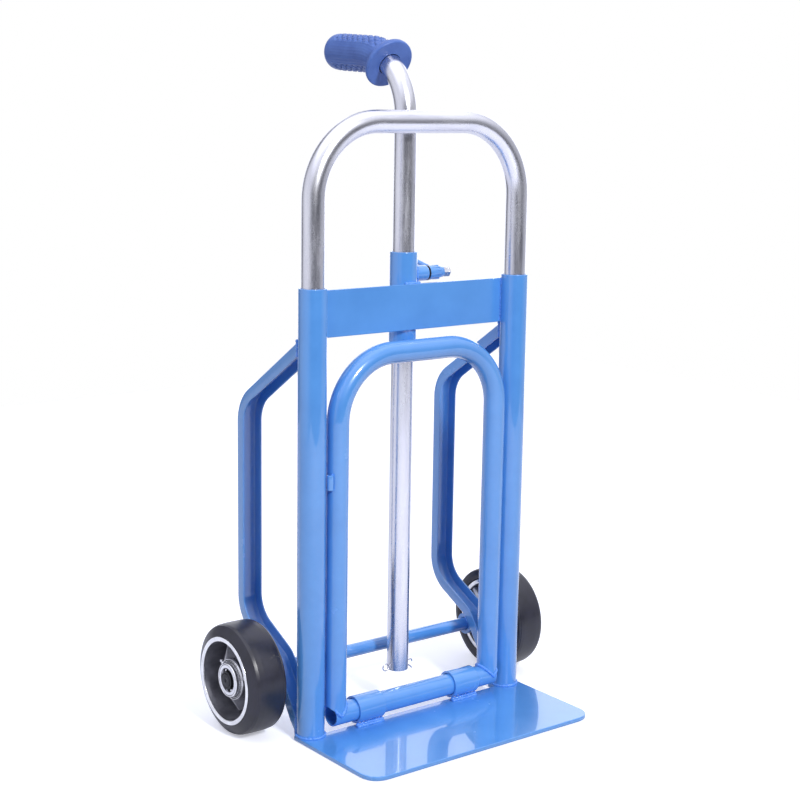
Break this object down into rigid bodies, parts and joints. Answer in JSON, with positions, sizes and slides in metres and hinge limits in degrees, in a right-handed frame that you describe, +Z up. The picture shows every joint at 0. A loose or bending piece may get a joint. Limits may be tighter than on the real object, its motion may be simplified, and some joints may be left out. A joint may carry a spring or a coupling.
{
  "type": "folding hand truck",
  "caption": "Two-wheeled tube-frame hand truck with a toe plate, a fold-down nose frame and a sliding pull pole held by a side clamp.",
  "frame": {"origin": "on the floor, under the middle of the bounding box", "axes": "X across, +X to the side the clamp is on; +Y to the back, where the wheels and grip are; +Z up"},
  "size_m": [0.433, 0.3045, 0.7837],
  "materials": {
    "blue_paint": "gloss",
    "zinc_steel": "bright zinc plate",
    "hub_metal": "as cast, machined faces",
    "tyre_rubber": "satin",
    "grip_rubber": "satin, ribbed",
    "dark_steel": "oiled",
    "bright_steel": "satin"
  },
  "bodies": {
    "chassis": {"toe_plate": "blue_paint", "left_upright": "blue_paint", "right_upright": "blue_paint", "top_loop": "zinc_steel", "crossbar": "blue_paint", "pole_sleeve": "blue_paint", "clamp_boss": "blue_paint", "clamp_washer": "dark_steel", "left_bracket": "blue_paint", "right_bracket": "blue_paint", "left_axle_lug": "blue_paint", "right_axle_lug": "blue_paint", "axle": "blue_paint", "left_axle_spacer": "bright_steel", "right_axle_spacer": "bright_steel", "left_axle_clip": "dark_steel", "right_axle_clip": "dark_steel", "left_hinge_barrel": "blue_paint", "right_hinge_barrel": "blue_paint"},
    "nose": {"nose_frame": "blue_paint", "nose_bar": "blue_paint", "stop_lug": "blue_paint"},
    "pull_pole": {"pole": "zinc_steel", "grip": "grip_rubber", "split_pin": "bright_steel"},
    "lever": {"clamp_lever": "blue_paint"},
    "screw": {"clamp_screw": "bright_steel"},
    "left_wheel": {"left_tyre": "tyre_rubber", "left_hub": "hub_metal", "left_inner_bearing": "dark_steel", "left_outer_bearing": "dark_steel", "left_grease_nipple": "bright_steel"},
    "right_wheel": {"right_tyre": "tyre_rubber", "right_hub": "hub_metal", "right_inner_bearing": "dark_steel", "right_outer_bearing": "dark_steel", "right_grease_nipple": "bright_steel"}
  },
  "joints": [
    {"name": "left_wheel_spin", "type": "hinge", "parent": "chassis", "child": "left_wheel", "pos_m": [-0.1856, 0.0552, 0.0635], "axis": [1, 0, 0], "continuous": true},
    {"name": "right_wheel_spin", "type": "hinge", "parent": "chassis", "child": "right_wheel", "pos_m": [0.1856, 0.0552, 0.0635], "axis": [1, 0, 0], "continuous": true},
    {"name": "nose_fold", "type": "hinge", "parent": "chassis", "child": "nose", "pos_m": [0, -0.0159, 0.0231], "axis": [1, 0, 0], "range_deg": [0, 90]},
    {"name": "pole_slide", "type": "slide", "parent": "chassis", "child": "pull_pole", "axis": [0, 0, 1], "range_m": [-0.03, 0.37]},
    {"name": "clamp_turn", "type": "hinge", "parent": "chassis", "child": "lever", "pos_m": [0, 0.0159, 0.5145], "axis": [1, 0, 0], "range_deg": [0, 150]},
    {"name": "screw_travel", "type": "slide", "parent": "lever", "child": "screw", "axis": [1, 0, 0], "range_m": [0, 0.0008]}
  ],
  "couplings": [
    {"joint": "screw_travel", "follows": "clamp_turn", "m_per_rad": 0.00027852}
  ]
}
